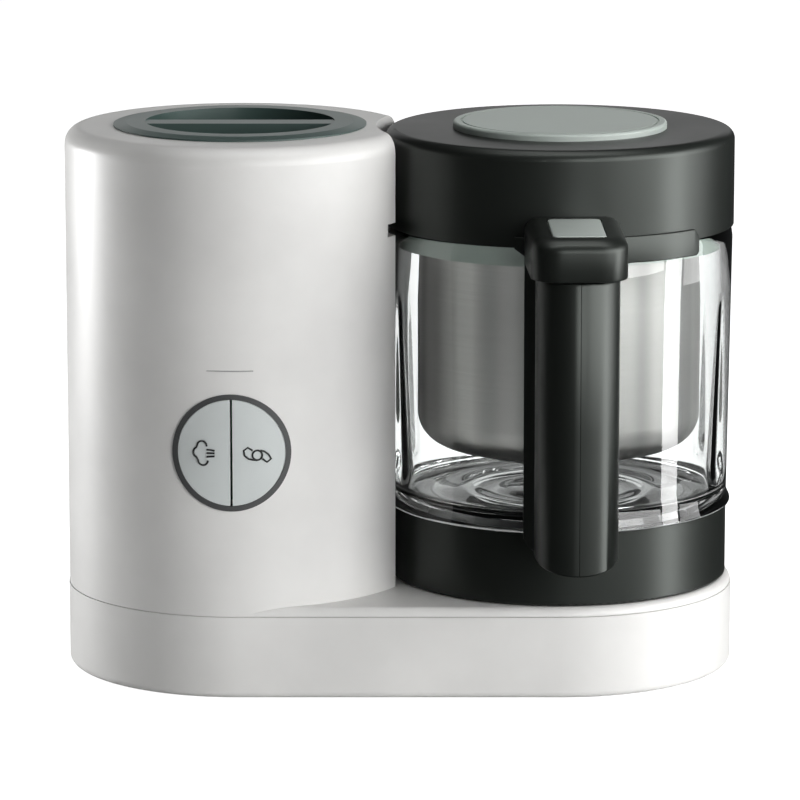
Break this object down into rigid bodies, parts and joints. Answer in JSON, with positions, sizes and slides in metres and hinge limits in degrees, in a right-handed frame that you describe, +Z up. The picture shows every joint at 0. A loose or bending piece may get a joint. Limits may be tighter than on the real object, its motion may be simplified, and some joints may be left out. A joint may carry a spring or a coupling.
{
  "type": "baby food maker",
  "caption": "Baby food maker: round steam tower with a turn-off tank cap beside a lidded glass blender jug with a steel basket and front handle, both on a round-ended base.",
  "frame": {"origin": "on the table, at the middle foot, midway between the tower axis and the jug axis", "axes": "+X from the tower to the jug, +Y from the front to the back, +Z up"},
  "size_m": [0.295, 0.2048, 0.2423],
  "materials": {
    "white_plastic": "fine satin moulded plastic",
    "charcoal_plastic": "soft satin moulded plastic",
    "sage_plastic": "satin moulded plastic",
    "cap_plastic": "satin moulded plastic",
    "ring_plastic": "satin moulded plastic",
    "button_plastic": "satin moulded plastic",
    "clear_glass": "clear pressed glass",
    "brushed_basket_steel": "brushed",
    "pale_silicone": "soft matte",
    "white_silicone": "soft matte",
    "black_rubber": "matte",
    "red_silicone": "soft matte",
    "bright_steel": "bright",
    "motor_steel": "plated",
    "cast_alloy": "cast",
    "copper_winding": "lacquered winding",
    "bronze": "sintered",
    "black_plastic": "moulded",
    "board_green": "solder mask",
    "ivory_plastic": "moulded",
    "tank_plastic": "moulded"
  },
  "bodies": {
    "base": {"base_housing": "white_plastic", "bottom_plate": "white_plastic", "foot_pads": "black_rubber", "base_screws": "bright_steel", "mains_inlet_bush": "black_rubber", "terminal_block": "ivory_plastic", "tower_shell": "white_plastic", "control_ring": "ring_plastic", "control_board": "board_green", "board_switches": "black_plastic", "steam_button_spring": "bright_steel", "blend_button_spring": "bright_steel", "lid_safety_switch": "black_plastic", "motor_mount": "motor_steel", "motor_can": "motor_steel", "drive_belt": "black_rubber", "bearing_carrier": "cast_alloy", "drive_bushes": "bronze", "water_tank": "tank_plastic", "tank_gasket": "red_silicone", "heating_plate": "bright_steel", "heating_element": "cast_alloy", "thermostat": "ivory_plastic", "tank_cradle": "motor_steel", "steam_pipe": "red_silicone", "steam_nozzle": "black_rubber"},
    "steam_button": {"steam_button": "button_plastic"},
    "blend_button": {"blend_button": "button_plastic"},
    "motor_rotor": {"motor_armature": "copper_winding", "motor_shaft": "bright_steel", "motor_pulley": "cast_alloy", "cooling_fan": "black_plastic"},
    "drive_line": {"drive_pulley": "cast_alloy", "drive_shaft": "bright_steel", "drive_clutch": "black_plastic"},
    "cap_ring": {"tank_cap_seal": "white_silicone"},
    "cap": {"tank_cap": "cap_plastic", "cap_relief_valve": "black_plastic"},
    "jug_foot": {"jug_foot_ring": "black_rubber"},
    "jug": {"jug_collar": "charcoal_plastic", "jug_glass": "clear_glass", "jug_seal": "black_rubber", "blade_bearing": "bright_steel", "handle_frame": "charcoal_plastic", "handle_inner_shell": "charcoal_plastic", "handle_outer_shell": "charcoal_plastic", "handle_screws": "bright_steel", "release_spring": "bright_steel"},
    "blade_set": {"blade_shaft": "bright_steel", "blade_clutch": "black_plastic", "blades": "bright_steel"},
    "release": {"release_button": "sage_plastic"},
    "latch": {"lid_latch": "charcoal_plastic"},
    "basket": {"steam_basket": "brushed_basket_steel", "basket_rim": "pale_silicone"},
    "lid_ring": {"lid_seal": "white_silicone"},
    "lid": {"lid_shell": "charcoal_plastic", "lid_skirt": "charcoal_plastic", "lid_disc": "sage_plastic"}
  },
  "joints": [
    {"name": "steam_press", "type": "slide", "parent": "base", "child": "steam_button", "axis": [0.0279, 0.9996, 0], "range_m": [0, 0.0015], "stiffness_N_per_m": 400, "springref_m": -0.001, "deforming": ["steam_button_spring"]},
    {"name": "blend_press", "type": "slide", "parent": "base", "child": "blend_button", "axis": [0.0279, 0.9996, 0], "range_m": [0, 0.0015], "stiffness_N_per_m": 400, "springref_m": -0.001, "deforming": ["blend_button_spring"]},
    {"name": "motor_spin", "type": "hinge", "parent": "base", "child": "motor_rotor", "pos_m": [-0.0702, 0, 0.05], "axis": [0, 0, 1], "continuous": true},
    {"name": "drive_spin", "type": "hinge", "parent": "base", "child": "drive_line", "pos_m": [0.0702, 0, 0.03], "axis": [0, 0, 1], "continuous": true},
    {"name": "cap_lift", "type": "slide", "parent": "base", "child": "cap_ring", "axis": [0, 0, 1], "range_m": [0, 0.08]},
    {"name": "cap_turn", "type": "hinge", "parent": "cap_ring", "child": "cap", "pos_m": [-0.0702, 0, 0.24], "axis": [0, 0, 1], "range_deg": [0, 90]},
    {"name": "jug_lift", "type": "slide", "parent": "base", "child": "jug_foot", "axis": [0, 0, 1], "range_m": [0, 0.21]},
    {"name": "jug_turn", "type": "hinge", "parent": "jug_foot", "child": "jug", "pos_m": [0.0702, 0, 0.04], "axis": [0, 0, 1], "range_deg": [0, 35]},
    {"name": "blade_spin", "type": "hinge", "parent": "jug", "child": "blade_set", "pos_m": [0.0702, 0, 0.07], "axis": [0, 0, 1], "continuous": true},
    {"name": "release_press", "type": "slide", "parent": "jug", "child": "release", "axis": [0, 0, -1], "range_m": [0, 0.0025], "stiffness_N_per_m": 400, "springref_m": -0.001, "deforming": ["release_spring"]},
    {"name": "latch_slide", "type": "slide", "parent": "jug", "child": "latch", "axis": [0.0419, -0.9991, 0], "range_m": [0, 0.0025]},
    {"name": "basket_lift", "type": "slide", "parent": "jug", "child": "basket", "axis": [0, 0, 1], "range_m": [0, 0.13]},
    {"name": "lid_lift", "type": "slide", "parent": "basket", "child": "lid_ring", "axis": [0, 0, 1], "range_m": [0, 0.08]},
    {"name": "lid_turn", "type": "hinge", "parent": "lid_ring", "child": "lid", "pos_m": [0.0702, 0, 0.2], "axis": [0, 0, 1], "range_deg": [0, 45]}
  ],
  "couplings": [
    {"joint": "drive_spin", "follows": "motor_spin", "ratio": 0.5},
    {"joint": "blade_spin", "follows": "motor_spin", "ratio": 0.5},
    {"joint": "latch_slide", "follows": "release_press", "ratio": 1}
  ]
}
